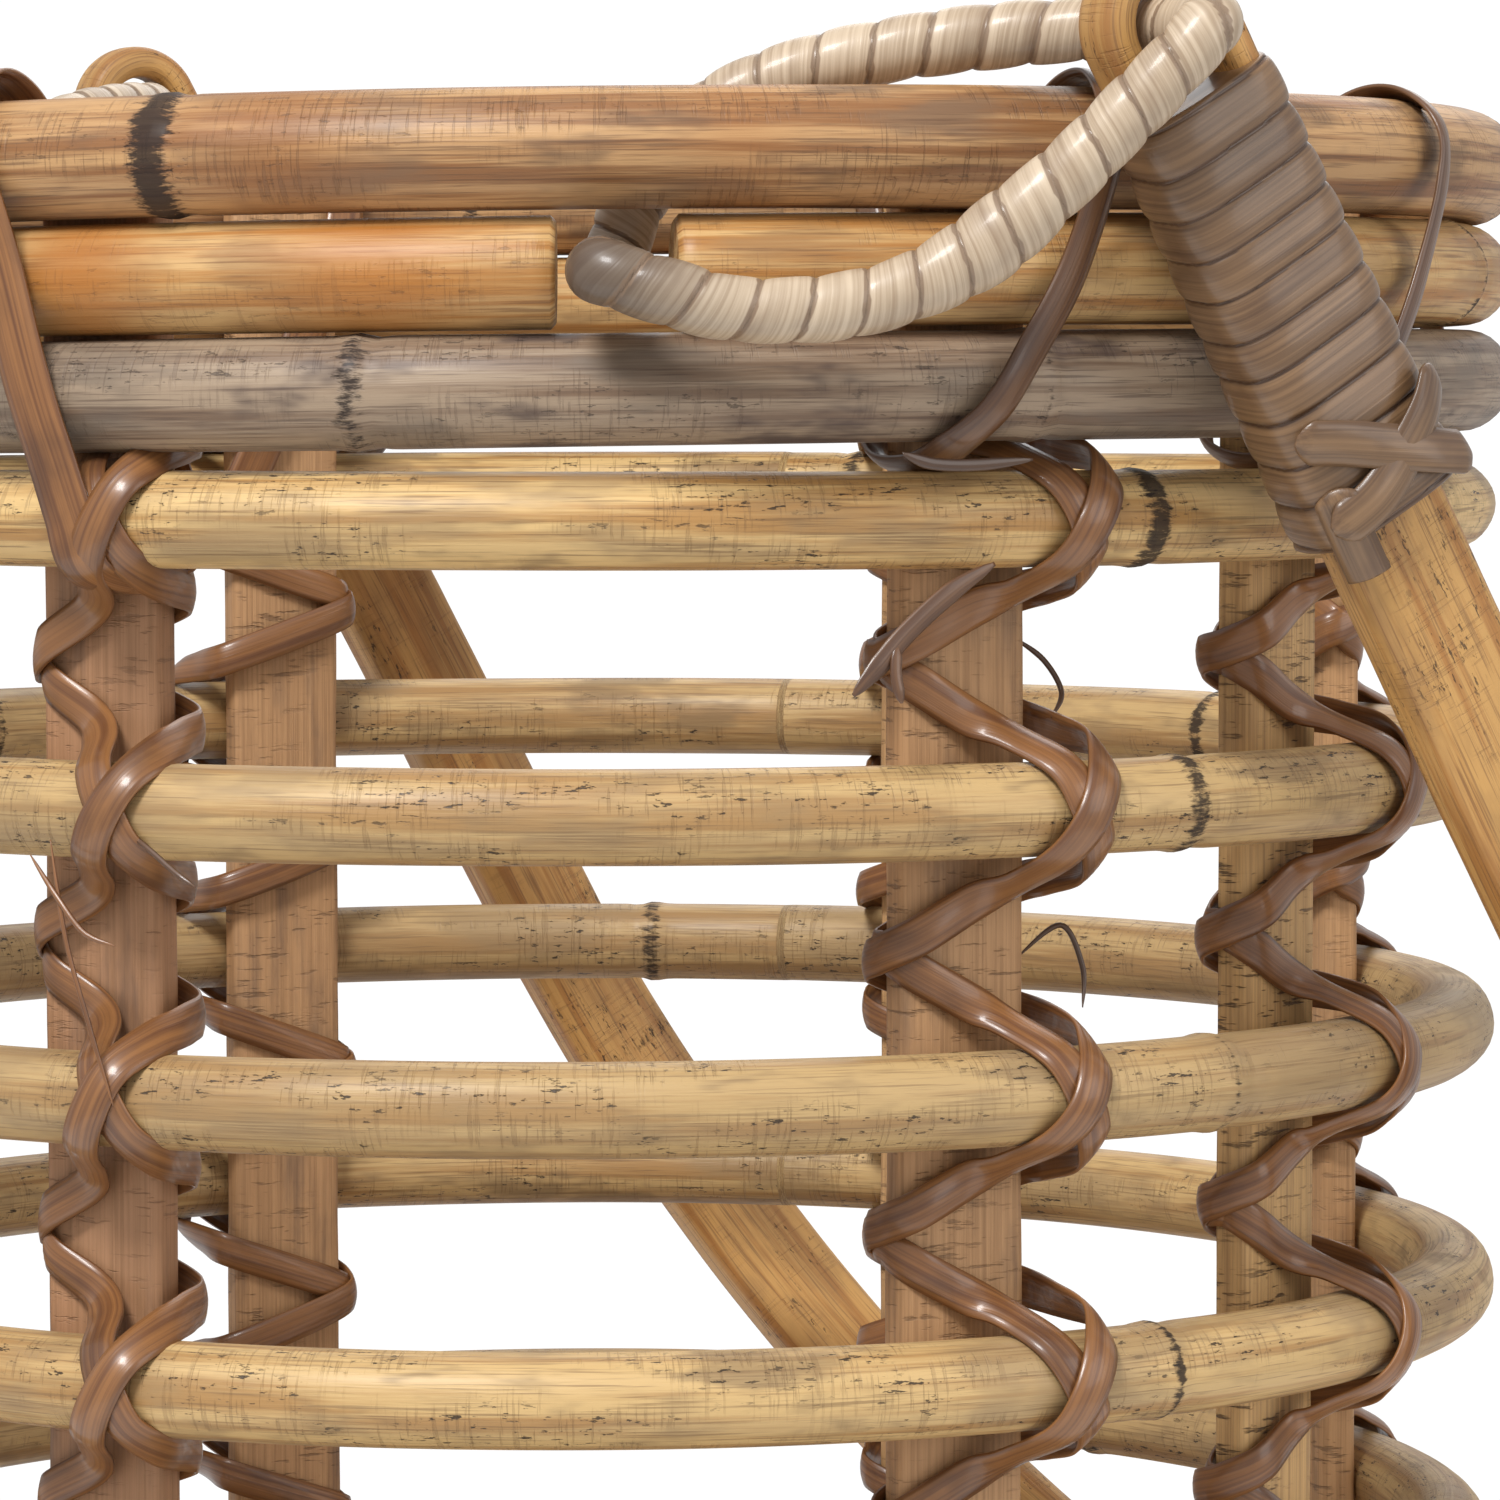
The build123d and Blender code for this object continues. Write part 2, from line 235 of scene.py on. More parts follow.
# ---------- materials ----------
class Value:
    # A number or colour on its way through a material; arithmetic on it adds Math nodes.
    def __init__(self, paint, output):
        self.paint, self.output = paint, output

    def math(self, operation, *others):
        return self.paint.node("ShaderNodeMath", {"operation": operation}, [self, *others])

    def __add__(self, other):
        return self.math("ADD", other)

    def __mul__(self, other):
        return self.math("MULTIPLY", other)

    def __sub__(self, other):
        return self.math("SUBTRACT", other)

    def __rsub__(self, other):
        return self.paint.node("ShaderNodeMath", {"operation": "SUBTRACT"}, [other, self])

    __radd__, __rmul__ = __add__, __mul__

    def between(self, low, high):
        # 0 at low and 1 at high, eased at both ends
        settings = {"interpolation_type": "SMOOTHSTEP"}
        return self.paint.node("ShaderNodeMapRange", settings, {"Value": self, "From Min": low, "From Max": high})


class Paint:
    def __init__(self, name):
        self.material = bpy.data.materials.new(name)
        self.material.use_nodes = True
        self.nodes = self.material.node_tree.nodes
        self.shader = self.nodes["Principled BSDF"]

    def node(self, kind, settings=None, sockets=None, output=0):
        made = self.nodes.new(kind)
        for key, value in (settings or {}).items():
            setattr(made, key, value)
        pairs = sockets.items() if isinstance(sockets, dict) else enumerate(sockets or [])
        for key, value in pairs:
            self.feed(made.inputs[key], value)
        return Value(self, made.outputs[output])

    def feed(self, socket, value):
        if isinstance(value, Value):
            self.material.node_tree.links.new(value.output, socket)
        elif hasattr(socket.default_value, "__len__") and len(socket.default_value) == 4:
            socket.default_value = (*value[:3], 1)
        else:
            socket.default_value = value

    def attribute(self, name):
        return self.node("ShaderNodeAttribute", {"attribute_name": name}, output="Vector")

    def split(self, vector):
        made = self.nodes.new("ShaderNodeSeparateXYZ")
        self.feed(made.inputs[0], vector)
        return [Value(self, made.outputs[k]) for k in range(3)]

    def stretch(self, vector, scale):
        return self.node("ShaderNodeVectorMath", {"operation": "MULTIPLY"}, [vector, scale])

    def noise(self, vector, scale, detail=3.0, rough=0.55):
        sockets = {"Vector": self.stretch(vector, scale), "Scale": 1.0, "Detail": detail, "Roughness": rough}
        return self.node("ShaderNodeTexNoise", None, sockets)

    def mix(self, factor, first, second, blend="MIX"):
        settings = {"data_type": "RGBA", "blend_type": blend}
        return self.node("ShaderNodeMix", settings, {0: factor, 6: first, 7: second}, output=2)

    def finish(self, colour, rough, height=None, depth=0.0002, coat=0.0, coatRough=0.3, specular=0.5):
        self.feed(self.shader.inputs["Base Color"], colour)
        self.feed(self.shader.inputs["Roughness"], rough)
        self.shader.inputs["Coat Weight"].default_value = coat
        self.shader.inputs["Coat Roughness"].default_value = coatRough
        self.shader.inputs["Specular IOR Level"].default_value = specular
        if height is not None:
            bump = self.node("ShaderNodeBump", None, {"Strength": 1.0, "Distance": depth, "Height": height})
            self.feed(self.shader.inputs["Normal"], bump)
        return self.material


def poleSkin(name, look):
    # The smooth skin of a rattan pole: long streaks, dark specks, fine cracks across, and scars.
    p = Paint(name)
    grain, (scarAndGrooveShade, stain, tone) = p.attribute("grain"), p.split(p.attribute("mark"))
    streak = p.noise(grain, (14, 420, 420), 4, 0.6)
    fine = p.noise(grain, (60, 2600, 2600), 3, 0.6)
    patch = p.noise(grain, (32, 90, 90), 4, 0.6)
    speck = p.noise(grain, (420, 1500, 1500), 3, 0.7)
    zone = p.noise(grain, (45, 150, 150), 2, 0.5)
    crack = p.noise(grain, (2100, 120, 120), 2, 0.65)
    crackHere = crack.between(0.56, 0.64) * zone.between(0.42, 0.56) * look["cracks"]
    specksHere = speck.between(0.60, 0.66) * zone.between(0.46, 0.60) * look["specks"]
    dirt = patch.between(0.55, 0.67) * look["dirt"]
    colour = p.mix(streak.between(0.43, 0.62), look["pale"], look["warm"])
    colour = p.mix(patch.between(0.36, 0.52) * 0.65 + 0.35, look["cool"], colour)
    colour = p.mix(fine.between(0.52, 0.66) * 0.6, colour, look["vein"])
    colour = p.mix(dirt, colour, look["soil"])
    colour = p.mix(tone, colour, look["cool"])
    colour = p.mix(stain * 0.85, colour, look["stain"])
    colour = p.mix(crackHere * 0.6, colour, look["vein"])
    colour = p.mix(specksHere, colour, look["burn"])
    scarEdge = (scarAndGrooveShade * (0.35 + patch * 1.3) + (speck - 0.5) * 1.5).between(0.42, 0.80)
    colour = p.mix(scarEdge * 0.92, colour, look["burn"])
    rough = 0.40 + fine * 0.18 + dirt * 0.2 + scarEdge * 0.3
    height = streak * 0.5 + fine * 0.35 - crackHere * 0.5 - specksHere * 0.5 - scarEdge * 0.5
    return p.finish(colour, rough, height, 0.00024, 0.10, 0.25, 0.35)


def slatGrain(name, look):
    # A split slat: straight fibres, cross cracks and mottled patches.
    p = Paint(name)
    grain, (_, _, tone) = p.attribute("grain"), p.split(p.attribute("mark"))
    fibre = p.noise(grain, (25, 1900, 1900), 4, 0.65)
    patch = p.noise(grain, (38, 160, 160), 4, 0.6)
    crack = p.noise(grain, (1150, 150, 150), 3, 0.7)
    zone = p.noise(grain, (28, 60, 60), 2, 0.5)
    crackHere = crack.between(0.57, 0.66) * zone.between(0.35, 0.6) * (1 - tone * 0.8)
    colour = p.mix(tone, look["tan"], look["red"])
    colour = p.mix(fibre.between(0.35, 0.7) * 0.55, colour, look["fibre"])
    colour = p.mix(patch.between(0.5, 0.75) * (0.25 + tone * 0.5), colour, look["grey"])
    colour = p.mix(crackHere * 0.8, colour, look["crack"])
    height = fibre * 0.6 - crackHere * 0.8 + patch * 0.3
    return p.finish(colour, 0.55 + fibre * 0.2, height, 0.0003, 0.05, 0.4)


def caneGloss(name, look):
    # Split cane: fine ribs along the strip under a hard glossy skin, with painted shade in the grooves between
    # wrapped turns.
    p = Paint(name)
    grain, (scarAndGrooveShade, _, tone) = p.attribute("grain"), p.split(p.attribute("mark"))
    rib = p.noise(grain, (18, look["ribs"], look["ribs"]), 3, 0.6)
    patch = p.noise(grain, (70, 130, 130), 3, 0.6)
    zone = p.noise(grain, (25, 40, 40), 2, 0.5)
    colour = p.mix(rib.between(0.32, 0.70), look["light"], look["dark"])
    colour = p.mix(patch.between(0.45, 0.75) * 0.55, colour, look["deep"])
    colour = p.mix(zone.between(0.5, 0.72) * 0.5, colour, look["light"])
    # towards dusk: a darker tone on strips, ties and loose ends, and a painted dark reflection near the start of each
    # hinge loop
    colour = p.mix(tone, colour, look["dusk"])
    # painted shade: the first mark darkens the grooves between wrapped turns; it is zero on flat strips
    colour = p.mix(scarAndGrooveShade.between(0.3, 0.9) * 0.8, colour, look["deep"])
    rough = look["rough"] + rib * 0.16 + patch * 0.1
    height = rib * 0.8 + patch * 0.4
    return p.finish(colour, rough, height, look["relief"], look["coat"], 0.16)


def boardWood(name):
    # Sawn board: growth lines across X, waved by noise.
    p = Paint(name)
    place = p.node("ShaderNodeTexCoord", output="Object")
    wave = p.noise(place, (9, 60, 60), 3, 0.5)
    fibre = p.noise(place, (30, 1400, 1400), 4, 0.6)
    line = p.noise(place, (7, 240, 240), 2, 0.5)
    colour = p.mix(line.between(0.35, 0.65), (0.44, 0.30, 0.16), (0.30, 0.18, 0.09))
    colour = p.mix(fibre.between(0.4, 0.75) * 0.5, colour, (0.20, 0.12, 0.06))
    colour = p.mix(wave.between(0.5, 0.8) * 0.3, colour, (0.16, 0.10, 0.06))
    return p.finish(colour, 0.6 + fibre * 0.15, fibre + line * 0.5, 0.0003)


def nailSteel(name):
    p = Paint(name)
    place = p.node("ShaderNodeTexCoord", output="Object")
    rust = p.noise(place, (900, 900, 900), 4, 0.6)
    colour = p.mix(rust.between(0.45, 0.65), (0.35, 0.34, 0.33), (0.20, 0.09, 0.04))
    p.feed(p.shader.inputs["Metallic"], 0.9 - rust.between(0.45, 0.65) * 0.8)
    return p.finish(colour, 0.35 + rust * 0.4, rust, 0.0001)


hoopLook = {
    "pale": (0.68, 0.46, 0.20), "warm": (0.42, 0.225, 0.075), "cool": (0.30, 0.20, 0.10),
    "vein": (0.16, 0.085, 0.035), "soil": (0.15, 0.095, 0.05), "stain": (0.36, 0.13, 0.03),
    "burn": (0.022, 0.013, 0.009), "cracks": 0.45, "specks": 0.9, "dirt": 0.6,
}
rimLook = {
    "pale": (0.50, 0.29, 0.13), "warm": (0.26, 0.115, 0.042), "cool": (0.18, 0.115, 0.07),
    "vein": (0.12, 0.06, 0.03), "soil": (0.11, 0.065, 0.04), "stain": (0.33, 0.115, 0.02),
    "burn": (0.018, 0.010, 0.008), "cracks": 0.5, "specks": 0.35, "dirt": 0.6,
}
middleLook = {
    "pale": (0.60, 0.38, 0.16), "warm": (0.42, 0.19, 0.05), "cool": (0.30, 0.17, 0.07),
    "vein": (0.16, 0.075, 0.03), "soil": (0.15, 0.08, 0.04), "stain": (0.40, 0.14, 0.02),
    "burn": (0.020, 0.012, 0.008), "cracks": 0.3, "specks": 0.3, "dirt": 0.4,
}
lowLook = {
    "pale": (0.34, 0.25, 0.17), "warm": (0.19, 0.12, 0.075), "cool": (0.15, 0.115, 0.085),
    "vein": (0.085, 0.05, 0.035), "soil": (0.07, 0.045, 0.04), "stain": (0.10, 0.05, 0.035),
    "burn": (0.018, 0.010, 0.008), "cracks": 0.4, "specks": 0.6, "dirt": 0.8,
}
handleLook = {
    "pale": (0.56, 0.31, 0.10), "warm": (0.40, 0.18, 0.048), "cool": (0.31, 0.165, 0.06),
    "vein": (0.19, 0.09, 0.035), "soil": (0.20, 0.11, 0.05), "stain": (0.30, 0.13, 0.04),
    "burn": (0.05, 0.028, 0.015), "cracks": 0.4, "specks": 0.8, "dirt": 0.3,
}
slatLook = {
    "tan": (0.66, 0.41, 0.17), "red": (0.38, 0.18, 0.10), "fibre": (0.24, 0.12, 0.05),
    "grey": (0.10, 0.065, 0.05), "crack": (0.045, 0.022, 0.013),
}
lashingLook = {
    "light": (0.29, 0.125, 0.040), "dark": (0.14, 0.052, 0.018), "deep": (0.055, 0.021, 0.010),
    "dusk": (0.05, 0.028, 0.018), "ribs": 1500, "rough": 0.26, "relief": 0.00016, "coat": 0.35,
}
whippingLook = {
    "light": (0.23, 0.130, 0.062), "dark": (0.115, 0.060, 0.028), "deep": (0.08, 0.036, 0.017),
    "dusk": (0.05, 0.028, 0.018), "ribs": 1300, "rough": 0.28, "relief": 0.00014, "coat": 0.30,
}
paleLook = {
    "light": (0.58, 0.46, 0.33), "dark": (0.36, 0.26, 0.17), "deep": (0.20, 0.125, 0.075),
    "dusk": (0.045, 0.022, 0.014), "ribs": 1400, "rough": 0.34, "relief": 0.00012, "coat": 0.22,
}
hoopPole, rimPole, middlePole, lowPole, handlePole = (
    poleSkin(name, look)
    for name, look in (
        ("hoopPole", hoopLook), ("rimPole", rimLook), ("middlePole", middleLook), ("lowPole", lowLook),
        ("handlePole", handleLook),
    )
)
stakeSlat = slatGrain("stakeSlat", slatLook)
brownCane = caneGloss("brownCane", lashingLook)
whippingCane = caneGloss("whippingCane", whippingLook)
paleCane = caneGloss("paleCane", paleLook)
print("materials made")

# ---------- bent-pole rings ----------
ringShape = {
    "seatRadius": 114.0,  # the inside of every ring
    "wander": 0.35,
    "seamBearing": 166.0,  # where the two ends of a pole meet
}


def ringPart(poleRadius, height, seed, scars=(), stains=(), lean=0.0, start=None, turn=360.0, tone=0.0):
    # A bent pole: round section carried round the axis, its middle wandering a little, its
    # thickness swelling at each node by a narrow bell curve.
    closed = turn >= 360
    start = ringShape["seamBearing"] if start is None else start
    count = int(600 * turn / 360)
    phi = start + np.linspace(0, turn, count, endpoint=not closed)
    theta = np.linspace(0, 2 * np.pi, 32, endpoint=False)
    outward, _ = bearingWays(phi)
    s = np.radians(phi)
    middle = ringShape["seatRadius"] + poleRadius
    radius = middle + ringShape["wander"] * ripple(s, seed)
    level = height + 0.6 * ringShape["wander"] * ripple(s, seed + 50) + lean * np.sin(s)
    along = np.radians(phi - start) * middle
    scarMark, stainMark, swell = np.zeros(count), np.zeros(count), np.zeros(count)
    for bearing, wide, strong in scars:
        gap = ((phi - bearing + 180) % 360 - 180) * np.pi / 180 * middle
        scarMark += strong * np.exp(-((gap / wide) ** 2))
        swell += 0.35 * np.exp(-((gap / 1.6) ** 2)) - 0.22 * np.exp(-(((gap - 2.2) / 1.2) ** 2))
    for bearing, wide, strong in stains:
        gap = ((phi - bearing + 180) % 360 - 180) * np.pi / 180 * middle
        stainMark += strong * np.exp(-((gap / wide) ** 2))
    thick = poleRadius - 0.1 + 0.10 * ripple(s * 3, seed + 90) + swell
    if not closed:  # the cut ends have a small chamfer
        edge = np.minimum(np.arange(count), count - 1 - np.arange(count))
        thick = thick - np.where(edge == 0, 0.7, 0.0)
        phi[1], phi[-2] = phi[0] + 0.3, phi[-1] - 0.3
        outward, _ = bearingWays(phi)
    facet = 1 + 0.010 * np.sin(5 * theta + seed) + 0.007 * np.sin(3 * theta + 2 * seed)
    out = radius[:, None] + thick[:, None] * np.cos(theta) * facet
    up = level[:, None] + thick[:, None] * np.sin(theta) * facet
    points = outward[:, None] * out[..., None]
    points[..., 2] = up
    grid = np.broadcast_to(np.ones_like(theta), out.shape)
    grain = np.stack([(along + seed * 37)[:, None] * grid, poleRadius * np.cos(theta) * grid,
                      poleRadius * np.sin(theta) * grid], -1)
    mark = np.stack([scarMark[:, None] * grid, stainMark[:, None] * grid, tone * grid], -1)
    return gridPart(points * mm, grain * mm, mark, closed, not closed)


def boxMiddle(node):
    low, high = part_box(node)
    return (low[2] + high[2]) / 2 / mm, (high[2] - low[2]) / 2 / mm


def buildRings():
    scars = {  # bearing, half length and strength of each node's dark scar
        "hoop_7": [(36, 2.4, 0.9), (-78, 1.5, 0.7), (160, 2, 0.8), (262, 1.6, 0.7)],
        "hoop_6": [(39, 2.2, 0.8), (-64, 1.5, 0.7), (128, 2, 0.8), (231, 1.6, 0.7)],
        "hoop_5": [(42, 0.8, 0.8), (-85, 1.3, 0.7), (176, 2, 0.7), (266, 1.6, 0.7)],
        "hoop_4": [(37.5, 1.2, 0.9), (-70, 1.5, 0.7), (120, 2, 0.7), (215, 1.6, 0.7)],
        "hoop_3": [(12, 1.2, 0.8), (-95, 1.5, 0.7), (140, 2, 0.7), (240, 1.6, 0.7)],
        "hoop_2": [(-15, 1.4, 0.8), (75, 1.5, 0.7), (190, 2, 0.7), (270, 1.6, 0.7)],
        "hoop_1": [(60, 1.2, 0.8), (-45, 1.5, 0.7), (155, 2, 0.7), (255, 1.6, 0.7)],
        "rim_ring_top": [(-22, 3.2, 0.95), (85, 1.6, 0.7), (190, 2, 0.8), (285, 2, 0.7)],
        "rim_ring_bottom": [(-11, 2.4, 0.62), (28, 1.2, 0.5), (140, 2, 0.7), (242, 2, 0.7)],
        "base_ring_upper": [(-5, 1.6, 0.7), (100, 2, 0.7), (220, 2, 0.7)],
        "base_ring_lower": [(20, 1.6, 0.7), (135, 2, 0.7), (290, 2, 0.7)],
    }
    stains = {
        "rim_ring_top": [(-15, 11, 0.55), (10, 6, 0.3)],
        "rim_ring_bottom": [(-3, 7, -0.25)],
    }
    tones = {"hoop_6": 0.35, "hoop_5": 0.5, "hoop_4": 0.25, "hoop_3": 0.4, "hoop_2": 0.2, "hoop_1": 0.35}
    skins = {"rim_ring_top": rimPole, "rim_ring_bottom": lowPole}
    for seed, node in enumerate(scars, start=1):
        height, poleRadius = boxMiddle(node)
        rim = node.startswith("rim")
        lean, tone = 1.5 if rim else 0.0, tones.get(node, 0.0)
        part = ringPart(poleRadius, height, seed, scars[node], stains.get(node, ()), lean, tone=tone)
        makePiece(node + "Pole", [part], skins.get(node, hoopPole), "lantern", [node])


middleCuts = {"near": 3.5, "far": 239.5, "halfWidth": 7.0}


def buildMiddleRing():
    height, poleRadius = boxMiddle("rim_ring_middle_long")
    half = math.degrees(middleCuts["halfWidth"] / (ringShape["seatRadius"] + poleRadius))
    near, far = middleCuts["near"], middleCuts["far"]
    arcs = (
        ("long", near + half, far - near - 2 * half, [(70, 1.6, 0.7), (165, 1.6, 0.7)], []),
        ("short", far + half, 360 - far + near - 2 * half, [(300, 1.8, 0.8)], [(-10, 12, 0.8), (-27, 9, 0.9)]),
    )
    for seed, (name, start, turn, scars, stains) in enumerate(arcs, start=20):
        part = ringPart(poleRadius, height, seed, scars, stains, 1.5, start, turn)
        makePiece(name + "MiddlePole", [part], middlePole, "lantern", ["rim_ring_middle_" + name])


# ---------- stakes ----------
stakeShape = {
    "bearings": (26, 54, 108, 152, 206, 248, 288, 330),
    "tieLeans": (1, 1, 1, 1, -1, 1, -1, -1),  # 1 where the rim tie rises to the right
    "tones": (0.55, 0.0, 0.5, 0.3, 0.55, 0.4, 0.2, 0.8),
    "faceRadius": 113.75,
    "width": 17.5,
    "depth": 5.5,
}


def stakePart(bearing, tone, top, seed):
    # A flat slat: a squared-off ellipse carried straight up, its edges wandering a little.
    z = np.linspace(0, top, 90)
    z[1], z[-2] = 0.5, top - 0.5
    theta = np.linspace(0, 2 * np.pi, 40, endpoint=False)
    c, s = np.cos(theta), np.sin(theta)
    boxy = (np.abs(c) ** 6 + np.abs(s) ** 6) ** (-1 / 6)
    half = stakeShape["width"] / 2 - 0.15 + 0.15 * ripple(z / 12, seed)
    slim = np.where((z <= 0) | (z >= top), 0.93, 1.0)
    across = (half * slim)[:, None] * c * boxy
    through = (stakeShape["depth"] / 2 * slim)[:, None] * s * boxy
    outward, sideways = bearingWays(np.array(float(bearing)))
    middle = stakeShape["faceRadius"] - stakeShape["depth"] / 2
    points = outward * (middle + through)[..., None] + sideways * across[..., None]
    points[..., 2] = z[:, None]
    grain = np.stack([np.broadcast_to((z + seed * 91)[:, None], across.shape), across, through], -1)
    mark = np.zeros_like(points)
    mark[..., 2] = tone
    return gridPart(points * mm, grain * mm, mark)


def buildStakes():
    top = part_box("stake_1")[1][2] / mm
    for number, (bearing, tone) in enumerate(zip(stakeShape["bearings"], stakeShape["tones"]), start=1):
        part = stakePart(bearing, tone, top, 40 + number)
        makePiece(f"stakeSlat{number}", [part], stakeSlat, "lantern", [f"stake_{number}"])


# ---------- cane lashings ----------
lashingShape = {
    "width": 4.9,
    "thickness": 0.95,
    # One period of the strip round a stake, from the left edge above a hoop, over the hoop and
    # behind the stake: sideways, outwards from the stake's face, up from the hoop's middle, and
    # the way the strip's skin faces.
    "turn": (
        (-9.0, -2.7, 17.2, -1, 0.1, 0),
        (-6.6, 0.3, 14.8, -0.5, 0.9, 0),
        (0.0, 0.9, 11.0, 0, 1, 0.1),
        (4.0, 4.6, 8.4, -0.2, 0.5, 0.8),
        (7.2, 10.6, 5.2, -0.1, 0.75, 0.65),
        (9.6, 12.5, 0.9, 0.1, 1, 0.05),
        (11.9, 11.0, -4.0, 0.3, 0.75, -0.6),
        (13.3, 6.0, -7.2, 0.75, 0.2, -0.6),
        (12.0, 0.0, -8.6, 0.95, 0, -0.3),
        (9.8, -5.4, -10.0, 0.7, -0.7, 0),
        (0.0, -6.2, -13.6, 0, -1, 0),
        (-8.6, -5.6, -17.0, -0.7, -0.7, 0),
    ),
}


def toStake(local, bearing, heights):
    # Sideways, outwards and up at a stake become X, Y and Z.
    outward, sideways = bearingWays(np.array(float(bearing)))
    points = sideways * local[:, :1] + outward * (stakeShape["faceRadius"] + local[:, 1:2])
    points[:, 2] = heights
    return points


def lashingParts(bearing, hoopHeights, seed):
    # Two strips wound opposite ways down a stake, one period a hoop, crossing on each hoop's face.
    table = np.array(lashingShape["turn"], float)
    rng = np.random.default_rng(seed)
    parts = []
    for hand in (1, -1):
        controls, faces = [], []
        for height in hoopHeights:
            local = table.copy()
            local[:, :2] += rng.normal(0, 0.16, (len(local), 2))
            local[:, 0] += rng.normal(0, 0.5) * (local[:, 1] > 3)
            local[:, 2] *= 1 + rng.normal(0, 0.03)
            if hand < 0:
                local = local[::-1] * (1, 1, -1, 1, 1, -1)
                local[:, :2] += local[:, 3:5] * 0.95
            controls.append(toStake(local, bearing, height + local[:, 2]))
            outward, sideways = bearingWays(np.array(float(bearing)))
            way = sideways * local[:, 3:4] + outward * local[:, 4:5]
            way[:, 2] = local[:, 5]
            faces.append(way)
        path = smoothCurve(np.vstack(controls), 9)
        way = unit(smoothCurve(np.vstack(faces), 9))
        tone = 0.12 * rng.random()
        parts.append(ribbonPart(path * mm, way, lashingShape["width"] * mm, lashingShape["thickness"] * mm, tone))
    return parts


def tiePart(bearing, loop, width, thickness, tone, flip, lift=0.0):
    # A closed band through given points; its skin faces away from the loop's own middle.
    local = smoothCurve(np.array(loop, float) * (flip, 1, 1), 10, True)
    path = toStake(local, bearing, local[:, 2])
    faces = unit(path - path.mean(0))
    return ribbonPart((path + faces * lift) * mm, faces, width * mm, thickness * mm, tone, True)


tieShape = {
    "full": (  # round the rim, the top hoop and the stake
        (-7.5, 4, 269.4), (-6.8, 11.5, 271.5), (-5.5, 13.0, 277.5), (-3.5, 14.0, 285), (-1, 14.6, 293),
        (3, 15.0, 307), (7, 16.2, 320), (8.8, 14.8, 326), (10.6, 8, 329.6), (11, 1.5, 328),
        (10.2, -3.5, 322), (8.0, -6.6, 314), (3, -6.8, 303), (-4, -6.8, 286), (-9.4, -5.6, 273.5),
        (-9.2, -1, 269.6),
    ),
    "rim": (  # round the rim and the stake only
        (-8.5, 5, 284.2), (-7.5, 11.5, 286.5), (-3.5, 14.6, 291), (1, 14.8, 298), (6, 15.2, 307),
        (10, 16.2, 319), (11.5, 14.6, 326), (13, 8, 329.6), (12.6, 1.0, 328), (10.5, -4.5, 321),
        (6.5, -6.9, 312), (0, -7.0, 301), (-8, -6.6, 289), (-9.8, -2.5, 284.6),
    ),
    "base": (  # round the two base rings and the stake
        (-9.8, 5, 2.2), (-8.6, 12.5, 5.5), (-6, 14.2, 11), (0, 13.6, 18), (6, 14.2, 25),
        (8.6, 12.5, 30.5), (10, 5, 32.8), (10.4, -2, 31), (9.6, -6.1, 27), (0, -6.6, 17),
        (-9.2, -6.1, 7), (-10, -2, 3.2),
    ),
}


def buildLashings():
    hoopHeights = [boxMiddle(f"hoop_{k}")[0] for k in range(7, 0, -1)]
    pairs = zip(stakeShape["bearings"], stakeShape["tieLeans"])
    for number, (bearing, lean) in enumerate(pairs, start=1):
        parts = lashingParts(bearing, hoopHeights, 300 + number)
        name = f"hoopLashing{number}"
        makePiece(name, parts, brownCane, "lantern", [f"hoop_lashing_{number}"])
        wide = lean < 0
        loop = tieShape["full"] if wide else tieShape["rim"]
        ties = [tiePart(bearing, loop, 6.6 if wide else 4.6, 1.0, 0.0 if wide else 0.55, lean, 0.6)]
        makePiece(f"rimTie{number}", ties, brownCane, "lantern", [f"rim_tie_{number}"])
        ties = [tiePart(bearing, tieShape["base"], 5.0, 1.0, 0.0, 1)]
        makePiece(f"baseTie{number}", ties, brownCane, "lantern", [f"base_tie_{number}"])


# ---------- wrapped hinge loops ----------
loopShape = {
    "strandRadius": 3.8,
    "around": 28,
    "perSpan": 46,
    "smoothings": 10,
    "lump": (0.245, 0.035, 0.8),  # where the splice is, as a share of the loop, its length and height
    # width of the painted shade band at each turn's edge, as a share of a turn
    "grooveShade": 0.07,
    # length of the painted dark reflection at the loop's start, as a share of the loop
    "paintedGlossLong": 0.055,
    "turnLength": 6.9,  # one turn of the wrapping along the strand
    # corners of the loop: degrees back from the eye, radius, height
    "route": (
        (29.0, 134.6, 306.4), (26.5, 136.6, 304.4), (22, 136.4, 301.8), (16, 136.2, 302.6), (11, 138.2, 307.4),
        (6.8, 142.4, 316.5), (3.4, 146.6, 326), (1.0, 149.4, 333.2), (0, 148.8, 335.9), (0, 142.3, 335.9),
        (0, 135.3, 335.9), (1.0, 128.5, 335.8), (5, 121.0, 335.2), (11, 115.0, 333.4), (17.5, 110.6, 330),
        (23, 108.0, 324), (26.3, 107.2, 315.5), (27.8, 109.0, 308), (28.1, 115, 306.3), (28.3, 125, 306.3),
    ),
}


def wrapRelief(turns, angle, sharp=3.0):
    # Overlapping turns: within each turn the surface rises from the edge tucked under the last
    # one, stays domed, and drops at its own far edge.
    phase = (turns - angle / (2 * np.pi)) % 1.0
    return (4 * phase * (1 - phase)) ** (1 / sharp) + 0.35 * phase


